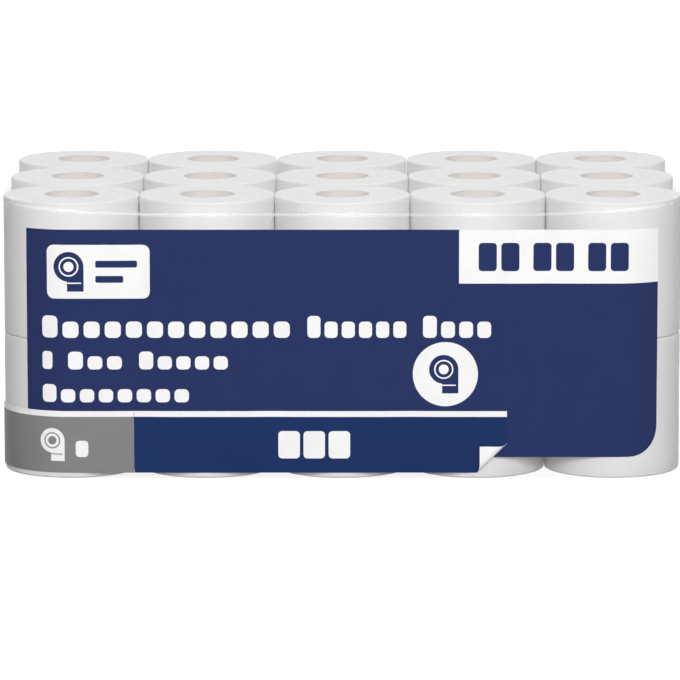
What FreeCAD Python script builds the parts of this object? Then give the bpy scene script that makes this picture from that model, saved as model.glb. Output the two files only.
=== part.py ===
import FreeCAD, Part
import math
import os

# A film-wrapped pack of thirty toilet paper rolls. They stand in two layers, each of three
# rows of five. Every roll is one wound web of tissue on a cardboard core. A clear film holds
# them, with its two ends folded like a parcel's and its lap sealed across the back. Printed
# labels are stuck on the film's front, and the lowest one has a corner that has come up and
# folded over.
# The origin is at the middle of the pack's foot. +X runs along the pack, to the right of
# someone who faces the labels, -Y points at that person and +Z points up. Millimetres.

# The pack's layout
columns = 5
row_names = ("front", "middle", "back")
layer_names = ("lower", "upper")

# The rolls
roll_diameter = 99.0
roll_height = 100.0
squeeze = 0.6  # depth of the flat where a roll is pressed against its neighbour
cut_edge_chamfer = 2.0
film_pressed_rounding = 2.0  # the upper rolls' top edge, which the film pulls over
tail_step = 0.4  # step at the loose end of the last sheet
tail_run = 70.0  # degrees round the roll over which that step fades out
tail_angles = (62.0, 118.0)  # degrees from +X, by turns along a row
turn_grooves = 3  # rings between slack and tight turns, on a roll's end that the film covers
turn_groove_width = 1.2
turn_groove_depth = 0.4

# The cores
core_bore = 38.0
core_wall = 1.0
core_gap = 0.05

# Pieces that touch stand this far apart
contact_gap = 0.2

# The film
film_thickness = 0.2
end_flap_overlap = 30.0  # how far one end flap laps over the other
end_flap_tip_width = 50.0  # an end flap's free edge
end_flap_inset = 28.0  # from the pack's front and back to a flap's widest point
end_flap_margin = 3.0  # from the pack's top and foot to a flap's fold
lap_height = 24.0
lap_foot = 88.0  # the lap seal's lower edge, above the floor
lap_end_inset = 20.0

# The labels
label_thickness = 0.15
glue_line = 0.05
label_wrap_angle = 38.0  # degrees that the front label reaches round the end rolls
front_label_top_margin = 19.5
front_label_foot_margin = 16.0
front_label_corner = 22.0
number_label_width = 143.0
number_label_height = 39.0
round_label_radius = 23.4
round_label_clearance = 3.6  # above the strip
round_label_offset = 9.6  # its centre, left of the number label
strip_height = 45.0  # with the white rule along its top
strip_foot_margin = 4.6
strip_setback = 127.4  # from the pack's right-hand side to the strip's end
count_label_width = 96.0  # from the pack's left-hand side to the strip
label_split = 0.2  # between the count label and the strip
curl_leg = 21.5  # short sides of the corner that has come up
curl_radius = 0.8
curl_angle = 170.0

# Sizes that follow from those above
rows = len(row_names)
layers = len(layer_names)
roll_radius = roll_diameter / 2
pitch = roll_diameter - 2 * squeeze + contact_gap
layer_pitch = roll_height + contact_gap
core_radius = core_bore / 2 + core_wall
winding_bore_radius = core_radius + core_gap
first_roll_foot = film_thickness + contact_gap
pack_height = first_roll_foot + layers * layer_pitch + film_thickness
film_offset = contact_gap + film_thickness
film_corner = roll_radius + film_offset
end_roll_x = (columns - 1) / 2 * pitch
outer_row_y = (rows - 1) / 2 * pitch
half_length = end_roll_x + film_corner
half_depth = outer_row_y + film_corner
film_top_rounding = film_pressed_rounding + film_offset
film_foot_rounding = cut_edge_chamfer + film_offset
clear = 2 * film_corner  # how far a cutting block reaches past the pack
level_tolerance = 1e-6  # an edge no taller than this is level


def column_x(column):
    """Where a column of rolls stands, counted from the left."""
    return column * pitch - end_roll_x


def row_y(row):
    """Where a row of rolls stands, counted from the front."""
    return row * pitch - outer_row_y


def layer_foot(layer):
    """The height of a layer's foot, counted from the lowest."""
    return first_roll_foot + layer * layer_pitch


def block(low, high):
    """A box between two corners."""
    corner = FreeCAD.Vector(*low)
    size = FreeCAD.Vector(*high) - corner
    return Part.makeBox(size.x, size.y, size.z, corner)


def revolved(edges):
    """The round solid that a closed outline sweeps about the Z axis."""
    section = Part.Face(Part.Wire(edges))
    return section.revolve(FreeCAD.Vector(), FreeCAD.Vector(0, 0, 1), 360)


def tail_cutter(angle):
    """The sliver between a full circle and the roll's outermost turn, which ends in a step."""
    inner = roll_radius - tail_step
    start = math.radians(angle)
    end = start + math.radians(tail_run)
    middle = (start + end) / 2

    def at(turn, radius):
        return FreeCAD.Vector(radius * math.cos(turn), radius * math.sin(turn), 0)

    step = at(start, inner)
    run_out = at(end, roll_radius)
    turn = Part.Arc(step, at(middle, (inner + roll_radius) / 2), run_out).toShape()
    outside = [run_out, at(end, roll_radius + 1), at(middle, roll_radius * 1.3)]
    outside += [at(start, roll_radius + 1), step]
    section = Part.Face(Part.Wire([turn] + Part.makePolygon(outside).Edges))
    return section.extrude(FreeCAD.Vector(0, 0, roll_height))


def radial(radius, height):
    """A point of a roll's half section."""
    return FreeCAD.Vector(radius, 0, height)


def grooved_end(height, inward, outermost):
    """A winding's end face as lines, from its outer edge to the bore.

    Its V grooves are evenly spaced and reach turn_groove_depth from height towards inward."""
    half = turn_groove_width / 2
    floor = height + inward * turn_groove_depth
    spacing = (roll_radius - film_pressed_rounding - winding_bore_radius) / (turn_grooves + 1)
    points = [radial(outermost, height)]
    for number in range(turn_grooves, 0, -1):
        radius = winding_bore_radius + spacing * number
        points += [radial(radius + half, height), radial(radius, floor), radial(radius - half, height)]
    points.append(radial(winding_bore_radius, height))
    return Part.makePolygon(points).Edges


def lower_log():
    """A lower roll's winding before its neighbours press on it. The film covers its foot."""
    rim = roll_radius - cut_edge_chamfer
    foot = grooved_end(0, 1, rim)
    outside = [
        radial(rim, 0),
        radial(roll_radius, cut_edge_chamfer),
        radial(roll_radius, roll_height - cut_edge_chamfer),
        radial(rim, roll_height),
        radial(winding_bore_radius, roll_height),
        radial(winding_bore_radius, 0),
    ]
    return revolved(foot + Part.makePolygon(outside).Edges)


def upper_log():
    """An upper roll's winding before its neighbours press on it. The film pulls its top edge round."""
    high = film_pressed_rounding
    rim = roll_radius - high
    diagonal = roll_radius - high * (1 - math.sqrt(0.5))
    shoulder = radial(roll_radius, roll_height - high)
    pressed = Part.Arc(
        shoulder, radial(diagonal, roll_height - roll_radius + diagonal), radial(rim, roll_height)
    )
    outside = [
        radial(winding_bore_radius, roll_height),
        radial(winding_bore_radius, 0),
        radial(roll_radius - cut_edge_chamfer, 0),
        radial(roll_radius, cut_edge_chamfer),
        shoulder,
    ]
    top = grooved_end(roll_height, -1, rim)
    return revolved(top + Part.makePolygon(outside).Edges + [pressed.toShape()])


def cell(column, row):
    """The room that a roll's neighbours leave it, open on the sides where it has none."""
    half = (pitch - contact_gap) / 2
    left = half if column > 0 else clear
    right = half if column < columns - 1 else clear
    front = half if row > 0 else clear
    back = half if row < rows - 1 else clear
    return block((-left, -front, 0), (right, back, roll_height))


def tissue_roll(column, row, layer):
    """The winding of one roll, in its place in the pack."""
    log = logs["top" if layer == layers - 1 else "foot"]
    roll = log.cut(tail_cutter(tail_angles[column % len(tail_angles)]))
    roll = roll.common(cell(column, row))
    roll.translate(FreeCAD.Vector(column_x(column), row_y(row), layer_foot(layer)))
    return roll


def core_stack(column, row):
    """The cores of the rolls that stand one on the other, as separate tubes."""
    tubes = []
    for layer in range(layers):
        foot = FreeCAD.Vector(column_x(column), row_y(row), layer_foot(layer))
        tube = Part.makeCylinder(core_radius, roll_height, foot)
        tubes.append(tube.cut(Part.makeCylinder(core_bore / 2, roll_height, foot)))
    return Part.makeCompound(tubes)


def rounded_plan(half_x, half_y, radius):
    """A rectangle with round corners, at height 0."""
    x = half_x - radius
    y = half_y - radius
    diagonal = radius * math.sqrt(0.5)
    edges = []
    for sx, sy in ((1, 1), (-1, 1), (-1, -1), (1, -1)):
        along_x = FreeCAD.Vector(sx * x, sy * half_y, 0)
        middle = FreeCAD.Vector(sx * (x + diagonal), sy * (y + diagonal), 0)
        along_y = FreeCAD.Vector(sx * half_x, sy * y, 0)
        ends = (along_y, along_x) if sx == sy else (along_x, along_y)
        edges.append((ends[0], middle, ends[1]))
    outline = []
    for arc, following in zip(edges, edges[1:] + edges[:1]):
        outline.append(Part.Arc(*arc).toShape())
        outline.append(Part.makeLine(arc[2], following[0]))
    return Part.Face(Part.Wire(outline))


def wrapped_block(grow):
    """The film's outside as a solid block, grown outwards by grow."""
    plan = rounded_plan(half_length + grow, half_depth + grow, film_corner + grow)
    plan.translate(FreeCAD.Vector(0, 0, -grow))
    solid = plan.extrude(FreeCAD.Vector(0, 0, pack_height + 2 * grow))
    middle = pack_height / 2

    def rim(above):
        """The level edges at the block's top or foot."""
        level = [e for e in solid.Edges if e.BoundBox.ZLength < level_tolerance]
        return [e for e in level if (e.CenterOfMass.z > middle) == above]

    solid = solid.makeFillet(film_top_rounding + grow, rim(True))
    return solid.makeFillet(film_foot_rounding + grow, rim(False))


def end_flap(narrow_end, wide_end):
    """A block that cuts one end flap from the layers at the pack's ends, on both ends.

    The flap is widest at its fold at height wide_end and narrows to height narrow_end."""
    wide = half_depth - end_flap_inset
    narrow = end_flap_tip_width / 2
    corners = [(-wide, wide_end), (wide, wide_end), (narrow, narrow_end), (-narrow, narrow_end)]
    points = [FreeCAD.Vector(end_roll_x, y, z) for y, z in corners]
    section = Part.Face(Part.makePolygon(points + points[:1]))
    flap = section.extrude(FreeCAD.Vector(clear, 0, 0))
    return flap.fuse(flap.mirror(FreeCAD.Vector(), FreeCAD.Vector(1, 0, 0)))


def film_wrap():
    """The clear film: a closed skin, its folded ends and the lap sealed across its back."""
    middle = pack_height / 2
    top_flap = end_flap(middle - end_flap_overlap / 2, pack_height - end_flap_margin)
    foot_flap = end_flap(middle + end_flap_overlap / 2, end_flap_margin)
    lap = block(
        (-half_length + lap_end_inset, outer_row_y, lap_foot),
        (half_length - lap_end_inset, half_depth + clear, lap_foot + lap_height),
    )
    one_layer = wrapped_block(film_thickness)
    two_layers = wrapped_block(2 * film_thickness)
    skin = wrapped_block(0)
    skin = skin.fuse(one_layer.common(top_flap))
    skin = skin.fuse(one_layer.common(foot_flap))
    skin = skin.fuse(two_layers.common(foot_flap.common(top_flap)))
    skin = skin.fuse(one_layer.common(lap))
    return skin.cut(wrapped_block(-film_thickness))


def label(left, right, foot, top, level, corner=0.0):
    """A label on the film's front, level layers of label above the film.

    Its lower right-hand corner is rounded where corner is given."""
    back = level * (label_thickness + glue_line) + glue_line
    patch = block((left, -half_depth - clear, foot), (right, -outer_row_y, top))
    if corner:
        lower_right = [
            e
            for e in patch.Edges
            if e.BoundBox.YLength > clear
            and abs(e.CenterOfMass.x - right) < level_tolerance
            and abs(e.CenterOfMass.z - foot) < level_tolerance
        ]
        patch = patch.makeFillet(corner, lower_right)
    sheet = wrapped_block(back + label_thickness).cut(wrapped_block(back))
    return sheet.common(patch)


def round_label(x, z, level):
    """The round label, with its centre at x and z on the film's front."""
    back = half_depth + level * (label_thickness + glue_line) + glue_line
    toward = FreeCAD.Vector(0, -1, 0)
    return Part.makeCylinder(round_label_radius, label_thickness, FreeCAD.Vector(x, -back, z), toward)


def curled_corner(right, foot, level):
    """The strip's lower right-hand corner, folded over its front, and what it is cut from.

    Gives the folded corner and the block that takes the flat corner away."""
    diagonal = math.sqrt(0.5)
    face = -half_depth - level * (label_thickness + glue_line) - glue_line
    crease = FreeCAD.Vector(right - curl_leg / 2, face, foot + curl_leg / 2)
    outward = FreeCAD.Vector(diagonal, 0, -diagonal)  # from the crease to the lost corner
    along = FreeCAD.Vector(diagonal, 0, diagonal)
    up = FreeCAD.Vector(0, -1, 0)  # off the label's face

    def at(out, height):
        return crease + outward * out + up * height

    reach = curl_leg * diagonal
    turn = math.radians(curl_angle)
    flap_length = reach - (curl_radius + label_thickness / 2) * turn
    centre = label_thickness + curl_radius

    def on_bend(radius, share):
        angle = turn * share
        return at(radius * math.sin(angle), centre - radius * math.cos(angle))

    def flap_end(radius):
        slope = FreeCAD.Vector(outward * math.cos(turn) + up * math.sin(turn))
        return on_bend(radius, 1) + slope * flap_length

    outer = curl_radius + label_thickness
    lead = 2 * label_thickness  # a short flat stretch behind the crease, to join on
    edges = [
        Part.makeLine(at(-lead, 0), at(0, 0)),
        Part.Arc(at(0, 0), on_bend(outer, 0.5), on_bend(outer, 1)).toShape(),
        Part.makeLine(on_bend(outer, 1), flap_end(outer)),
        Part.makeLine(flap_end(outer), flap_end(curl_radius)),
        Part.makeLine(flap_end(curl_radius), on_bend(curl_radius, 1)),
        Part.Arc(
            on_bend(curl_radius, 1), on_bend(curl_radius, 0.5), at(0, label_thickness)
        ).toShape(),
        Part.makeLine(at(0, label_thickness), at(-lead, label_thickness)),
        Part.makeLine(at(-lead, label_thickness), at(-lead, 0)),
    ]
    section = Part.Face(Part.Wire(edges))
    section.translate(along * -reach)
    sheet = section.extrude(along * (2 * reach))

    # Seen from the front, the folded corner is a triangle that widens to the crease.
    bend_out = outer + lead
    corners = [
        at(-flap_length, -lead),
        at(bend_out, -lead) + along * (flap_length + bend_out),
        at(bend_out, -lead) - along * (flap_length + bend_out),
    ]
    window = Part.Face(Part.makePolygon(corners + corners[:1]))
    folded = sheet.common(window.extrude(up * clear))

    lost = [at(0, -clear) - along * clear, at(0, -clear) + along * clear]
    lost += [at(clear, -clear) + along * clear, at(clear, -clear) - along * clear]
    away = Part.Face(Part.makePolygon(lost + lost[:1])).extrude(up * (2 * clear))
    return folded, away


def labels():
    """The printed labels, by name."""
    right = end_roll_x + film_corner * math.sin(math.radians(label_wrap_angle))
    top = pack_height - front_label_top_margin
    number_left = right - number_label_width
    strip_top = strip_foot_margin + strip_height
    strip_right = half_length - strip_setback
    split = -half_length + count_label_width
    round_x = number_left - round_label_offset
    round_z = strip_top + round_label_clearance + round_label_radius
    strip = label(split + label_split, strip_right, strip_foot_margin, strip_top, 1)
    folded, away = curled_corner(strip_right, strip_foot_margin, 1)
    return {
        "front_label": label(-right, right, front_label_foot_margin, top, 0, front_label_corner),
        "number_label": label(number_left, right, top - number_label_height, top, 1),
        "round_label": round_label(round_x, round_z, 1),
        "count_label": label(-half_length - clear, split, strip_foot_margin, strip_top, 1),
        "sheet_strip": strip.cut(away).fuse(folded),
    }


def pieces():
    """Every piece of the pack, by name."""
    made = {"film_wrap": film_wrap()}
    for row, row_name in enumerate(row_names):
        for column in range(columns):
            place = f"{row_name}_{column + 1}"
            made[f"core_pair_{place}"] = core_stack(column, row)
            for layer, layer_name in enumerate(layer_names):
                made[f"{layer_name}_roll_{place}"] = tissue_roll(column, row, layer)
    made.update(labels())
    return made


# The winding's two forms, by the end that the film covers
logs = {"foot": lower_log(), "top": upper_log()}

os.makedirs("parts", exist_ok=True)
for name, shape in pieces().items():
    solids = shape.removeSplitter().Solids
    solid = solids[0] if len(solids) == 1 else Part.makeCompound(solids)
    solid.exportStep(f"parts/{name}.step")
    print(f"{name}: {len(solids)} solid(s), {solid.Volume / 1000:.2f} cm3, valid {solid.isValid()}")
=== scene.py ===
"""A film-wrapped pack of toilet paper rolls, dressed for the camera.

Each sub-assembly of the pack is a class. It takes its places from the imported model, builds its
meshes in the same frame and gives them their finishes. Lengths are in metres.
"""

import logging
import math
from collections.abc import Callable, Sequence
from dataclasses import dataclass
from enum import Enum, IntEnum

import bpy
import numpy as np
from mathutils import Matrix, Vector, noise
from mathutils.geometry import delaunay_2d_cdt

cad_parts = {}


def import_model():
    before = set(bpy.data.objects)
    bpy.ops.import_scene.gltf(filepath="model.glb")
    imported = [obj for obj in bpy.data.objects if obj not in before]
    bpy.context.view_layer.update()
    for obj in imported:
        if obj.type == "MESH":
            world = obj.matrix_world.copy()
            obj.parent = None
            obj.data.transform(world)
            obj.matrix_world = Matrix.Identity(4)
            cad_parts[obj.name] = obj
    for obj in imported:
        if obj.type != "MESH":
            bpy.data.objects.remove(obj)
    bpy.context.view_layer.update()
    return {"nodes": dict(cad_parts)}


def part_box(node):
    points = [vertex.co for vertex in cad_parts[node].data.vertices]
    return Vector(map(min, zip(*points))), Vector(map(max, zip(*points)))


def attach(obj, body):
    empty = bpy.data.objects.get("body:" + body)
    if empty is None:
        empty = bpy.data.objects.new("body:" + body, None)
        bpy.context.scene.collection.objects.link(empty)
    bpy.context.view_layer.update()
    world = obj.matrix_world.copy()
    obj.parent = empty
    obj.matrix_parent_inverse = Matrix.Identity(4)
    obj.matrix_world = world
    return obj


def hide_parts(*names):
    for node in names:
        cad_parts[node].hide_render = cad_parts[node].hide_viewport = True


LOG = logging.getLogger("roll_pack")
BODY = "root"
MM = 0.001
WHOLE_TURN = 2 * math.pi
HALF_ROOT = math.sqrt(0.5)
MERGE_DISTANCE = 1e-7
WHITE_LIGHT = (1.0, 1.0, 1.0)
FILM_CROSSINGS = 32

Point2 = tuple[float, float]
Point3 = tuple[float, float, float]
Colour = tuple[float, float, float]
Face = tuple[int, ...]
RingPoint = tuple[float, float, float, bool]
Socket = bpy.types.NodeSocket
Input = Socket | float | Colour


class Row(Enum):
    """The pack's rows of rolls, as the model names them."""

    FRONT = "front"
    MIDDLE = "middle"
    BACK = "back"


class Layer(Enum):
    """The pack's layers of rolls, as the model names them."""

    LOWER = "lower"
    UPPER = "upper"


class Ink(IntEnum):
    """What a field of a label is printed with, by its place among the label's materials."""

    NAVY = 0
    WHITE = 1
    GREY = 2
    BLUE = 3


class SkinLook(IntEnum):
    """How a part of the film's skin looks, by its place among the skin's materials."""

    CLEAR = 0
    CREASE_EDGE = 1
    CREASE = 2
    DRAWN = 3


class FlapLook(IntEnum):
    """How a part of a folded flap looks, by its place among the flap's materials."""

    FOLDED = 0
    SEALED = 1


def srgb(*channels: int) -> Colour:
    """Turns an 8-bit screen colour into linear light, 0 to 1."""
    shares = [channel / 255 for channel in channels]
    return tuple(share / 12.92 if share <= 0.04045 else ((share + 0.055) / 1.055) ** 2.4 for share in shares)


def eased(low: float, high: float, value: float) -> float:
    """Eases from 0 where value is low to 1 where it is high, and high may be the lesser of the two."""
    share = min(max((value - low) / (high - low), 0.0), 1.0)
    return share * share * (3 - 2 * share)


def bell(offset: float, width: float) -> float:
    """Gives 1 at no offset and less to both sides, about a third at the width."""
    return math.exp(-((offset / width) ** 2))


def noise_at(x: float, y: float, z: float) -> float:
    """Reads smooth noise between about -1 and 1."""
    return noise.noise(Vector((x, y, z)))


def quarter_turn(steps: int) -> list[float]:
    """Divides a quarter turn into so many steps, and gives the angles with both ends."""
    return [step / steps * math.pi / 2 for step in range(steps + 1)]


class NodeSketch:
    """A material, or the world, being put together from nodes."""

    def __init__(self, owner: bpy.types.Material | bpy.types.World) -> None:
        """Empties the node tree of a new material or world.

        Args:
            owner: What the nodes are for.
        """
        self.owner = owner
        owner.use_nodes = True
        self.tree = owner.node_tree
        self.tree.nodes.clear()

    def add(self, kind: str, *inputs: Input, **settings: object) -> bpy.types.Node:
        """Adds a node.

        Args:
            kind: The node's type, without its ShaderNode prefix.
            inputs: What feeds its first sockets, in order.
            settings: Attributes of the node, or what feeds its sockets, by name with _ for a space.

        Returns:
            The node.
        """
        node = self.tree.nodes.new("ShaderNode" + kind)
        for key, value in settings.items():
            if hasattr(node, key):
                setattr(node, key, value)
            else:
                self.feed(node, key.replace("_", " "), value)
        for place, value in enumerate(inputs):
            self.feed(node, place, value)
        return node

    def feed(self, node: bpy.types.Node, socket: str | int, value: Input) -> None:
        """Sets a socket's value, or links it to another node's output.

        Args:
            node: The node that is fed.
            socket: The socket's name or place.
            value: A number, a colour or an output socket.
        """
        target = node.inputs[socket]
        if isinstance(value, Socket):
            self.tree.links.new(value, target)
        elif isinstance(value, tuple) and len(value) == 3 and target.type == "RGBA":
            target.default_value = (*value, 1.0)
        else:
            target.default_value = value

    def math(self, operation: str, *values: Input) -> Socket:
        """Adds a sum on numbers or output sockets, and gives the result's socket."""
        return self.add("Math", *values, operation=operation).outputs[0]

    def total(self, whole: Input, *terms: tuple[Input, float]) -> Socket:
        """Adds terms to a value, each of them times its factor.

        Args:
            whole: The value to begin with.
            terms: Each term and its factor.

        Returns:
            The result's socket.
        """
        for value, factor in terms:
            whole = self.math("MULTIPLY_ADD", value, factor, whole)
        return whole

    def place(self) -> Socket:
        """Gives the object's own coordinates."""
        return self.add("TexCoord").outputs["Object"]

    def axes(self) -> list[Socket]:
        """Gives the object's own X, Y and Z."""
        return list(self.add("SeparateXYZ", self.place()).outputs)

    def noise(self, place: Socket, detail: float) -> Socket:
        """Adds soft noise of about 0.5, read at a place, with so many octaves."""
        return self.add("TexNoise", Scale=1.0, Detail=detail, Vector=place).outputs["Fac"]

    def grain(self, fineness: Colour | float, detail: float = 3.0) -> Socket:
        """Adds soft noise on the object's own coordinates.

        Args:
            fineness: How fine it is, or how fine along X, Y and Z.
            detail: Its octaves.

        Returns:
            The noise's value, about 0.5.
        """
        along_axes = fineness if isinstance(fineness, tuple) else (fineness,) * 3
        mapping = self.add("Mapping", vector_type="POINT", Vector=self.place(), Scale=along_axes)
        return self.noise(mapping.outputs[0], detail)

    def ramp(self, value: Socket, low: float, high: float, out: Point2 = (0.0, 1.0)) -> Socket:
        """Maps the range from low to high onto the range out, and clamps the result."""
        return self.add("MapRange", value, low, high, *out, clamp=True).outputs[0]

    def stripe(self, value: Socket, half_width: float) -> Socket:
        """Gives 1 halfway between each two whole numbers, and 0 from the half width off."""
        off_line = self.math("ABSOLUTE", self.math("SUBTRACT", self.math("FRACT", value), 0.5))
        return self.ramp(off_line, 0.0, half_width, (1.0, 0.0))

    def blend(self, share: Input, first: Input, second: Input) -> Socket:
        """Mixes two colours.

        Args:
            share: How much of the second colour shows.
            first: A colour or an output socket.
            second: A colour or an output socket.

        Returns:
            The mixed colour's socket.
        """
        node = self.add("Mix", share, data_type="RGBA")
        self.feed(node, 6, first)
        self.feed(node, 7, second)
        return node.outputs[2]

    def cover(self, share: Input, under: bpy.types.Node, over: bpy.types.Node) -> bpy.types.Node:
        """Lays a shader over another, where share is how much of the upper one shows."""
        return self.add("MixShader", share, under.outputs[0], over.outputs[0])

    def bump(self, height: Socket, depth: float, strength: float) -> Socket:
        """Turns a height into a surface normal, where a height of 1 is the depth in metres."""
        return self.add("Bump", Strength=strength, Distance=depth, Height=height).outputs[0]

    def done(self, shader: bpy.types.Node) -> bpy.types.Material:
        """Ends a material with the shader that its surface shows, and gives the material."""
        self.add("OutputMaterial", shader.outputs[0])
        return self.owner


@dataclass(frozen=True)
class TissueFinish:
    """Dry creped tissue, seen from the web's side or at its cut ends."""

    colour: Colour = (0.80, 0.79, 0.79)
    shade: Colour = (0.74, 0.73, 0.725)
    sheet_length: float = 0.120
    roll_radius: float = 0.0495
    perforation: float = 4.2 * MM
    slit_share: float = 0.0035
    turn_pitch: float = 0.55 * MM
    turn_waver: float = 2.6
    crepe_grain: Colour = (900.0, 900.0, 60.0)
    fibre_grain: float = 650.0
    mottle_grain: float = 60.0
    lint_grain: float = 1400.0
    crepe_depth: float = 0.12 * MM
    turn_depth: float = 0.22 * MM

    def _tissue(self, sketch: NodeSketch, tone: Socket, normal: Socket) -> bpy.types.Material:
        """Ends a tissue material with its dull, slightly napped shader.

        Args:
            sketch: The material's nodes.
            tone: How much of the shade shows.
            normal: The surface normal.

        Returns:
            The material.
        """
        colour = sketch.blend(tone, self.colour, self.shade)
        nap = {"Specular_IOR_Level": 0.15, "Sheen_Weight": 0.12, "Sheen_Roughness": 0.6}
        return sketch.done(sketch.add("BsdfPrincipled", colour, Roughness=0.95, Normal=normal, **nap))

    def web(self) -> bpy.types.Material:
        """The roll's outside: crepe lines up the sheet, fibres, and a row of perforations.

        Returns:
            The material.
        """
        sketch = NodeSketch(bpy.data.materials.new("tissue_web"))
        crepe, fibre = sketch.grain(self.crepe_grain, 4.0), sketch.grain(self.fibre_grain)
        x, y, z = sketch.axes()
        turn = sketch.math("ADD", sketch.math("ARCTAN2", y, x), math.pi)
        run = sketch.math("MULTIPLY", turn, self.roll_radius / self.sheet_length)
        dash = sketch.math("FRACT", sketch.math("MULTIPLY", z, 1 / self.perforation))
        slit = sketch.math("MULTIPLY", sketch.stripe(run, self.slit_share), sketch.ramp(dash, 0.30, 0.38))
        height = sketch.total(crepe, (fibre, 0.6), (slit, -1.2))
        tone = sketch.ramp(sketch.grain(self.mottle_grain, 2.0), 0.35, 0.65, (0.0, 0.35))
        return self._tissue(sketch, tone, sketch.bump(height, self.crepe_depth, 0.55))

    def cut_end(self) -> bpy.types.Material:
        """The roll's end: the cut edges of its turns, as fine broken rings, with painted shade where the
        rings lie low.

        Returns:
            The material.
        """
        sketch = NodeSketch(bpy.data.materials.new("tissue_cut_end"))
        x, y, _ = sketch.axes()
        squares = (sketch.math("MULTIPLY", axis, axis) for axis in (x, y))
        radius = sketch.math("SQRT", sketch.math("ADD", *squares))
        shares = (sketch.math("DIVIDE", axis, radius) for axis in (x, y))
        around = (sketch.math("MULTIPLY", share, self.turn_waver) for share in shares)
        ring = sketch.add("CombineXYZ", *around, sketch.math("MULTIPLY", radius, 1 / self.turn_pitch))
        turns = sketch.noise(ring.outputs[0], 3.0)
        height = sketch.total(turns, (sketch.grain(self.lint_grain, 2.0), 0.5))
        # Darker where the turns' relief is low: painted shade in the grooves between turns.
        tone = sketch.ramp(turns, 0.30, 0.62, (0.75, 0.0))
        return self._tissue(sketch, tone, sketch.bump(height, self.turn_depth, 0.7))


@dataclass(frozen=True)
class CardFinish:
    """Thin grey-beige board wound in a spiral, with a slightly open seam."""

    colour: Colour = (0.66, 0.61, 0.57)
    dark: Colour = (0.53, 0.47, 0.42)
    seam_pitch: float = 0.062
    seam_share: float = 0.014
    fibre_grain: Colour = (500.0, 500.0, 160.0)
    fleck_grain: float = 900.0
    depth: float = 0.15 * MM

    def material(self) -> bpy.types.Material:
        """Builds the board.

        Returns:
            The material.
        """
        sketch = NodeSketch(bpy.data.materials.new("core_board"))
        fibre, fleck = sketch.grain(self.fibre_grain, 5.0), sketch.grain(self.fleck_grain, 2.0)
        x, y, z = sketch.axes()
        turn = sketch.math("DIVIDE", sketch.math("ARCTAN2", y, x), WHOLE_TURN)
        climb = sketch.math("MULTIPLY", z, 1 / self.seam_pitch)
        seam = sketch.stripe(sketch.math("SUBTRACT", climb, turn), self.seam_share)
        tones = (sketch.ramp(fibre, 0.35, 0.7, (0.0, 0.45)), sketch.ramp(fleck, 0.62, 0.75, (0.0, 0.35)))
        tone = sketch.math("MAXIMUM", sketch.math("ADD", *tones), sketch.math("MULTIPLY", seam, 0.9))
        colour = sketch.blend(tone, self.colour, self.dark)
        normal = sketch.bump(sketch.total(0.0, (fibre, 0.5), (seam, -1.0)), self.depth, 0.6)
        board = {"Roughness": 0.85, "Specular_IOR_Level": 0.2, "Normal": normal}
        return sketch.done(sketch.add("BsdfPrincipled", colour, **board))


@dataclass(frozen=True)
class FilmFinish:
    """Clear packing film: it mirrors at its skin and is faintly milky, more so where it is sealed, and whiter
    along the crease, where the white is partly the film's own whitening and partly a painted highlight.
    """

    name: str = "clear_film"
    square_mirror: float = 0.018
    grazing_mirror: float = 0.07
    roughness: float = 0.06
    # The milky share: real haze over most of the film, and a painted highlight where the crease looks raise
    # it.
    haze_and_highlight: float = 0.02
    ribs: float = 0.0
    pucker_grain: Colour = (22.0, 22.0, 9.0)
    stretch_grain: Colour = (60.0, 240.0, 240.0)
    depth: float = 0.9 * MM

    def material(self) -> bpy.types.Material:
        """Builds the film.

        Returns:
            The material.
        """
        sketch = NodeSketch(bpy.data.materials.new(self.name))
        pucker = sketch.grain(self.pucker_grain)
        height = sketch.total(pucker, (sketch.grain(self.stretch_grain, 2.0), 0.10))
        if self.ribs:
            wave = sketch.math("SINE", sketch.math("MULTIPLY", sketch.axes()[2], WHOLE_TURN / self.ribs))
            height = sketch.total(height, (wave, 0.25))
        normal = sketch.bump(height, self.depth, 0.5)
        gloss = {"Roughness": self.roughness, "Metallic": 1.0, "Normal": normal}
        mirror = sketch.add("BsdfPrincipled", (0.95, 0.95, 0.95), **gloss)
        slant = sketch.add("LayerWeight", Blend=0.5, Normal=normal)
        grazing = sketch.math("POWER", slant.outputs["Facing"], 5.0)
        share = sketch.total(self.square_mirror, (grazing, self.grazing_mirror))
        clear = sketch.cover(share, sketch.add("BsdfTransparent"), mirror)
        # Milky white layer: real haze, and along the crease partly a painted highlight.
        milk = sketch.add("BsdfPrincipled", (0.93, 0.94, 0.96), Roughness=0.7, Specular_IOR_Level=0.0)
        haze_and_highlight_share = sketch.ramp(pucker, 0.3, 0.7, (self.haze_and_highlight * 0.6, self.haze_and_highlight * 1.4))
        return sketch.done(sketch.cover(haze_and_highlight_share, clear, milk))


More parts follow.
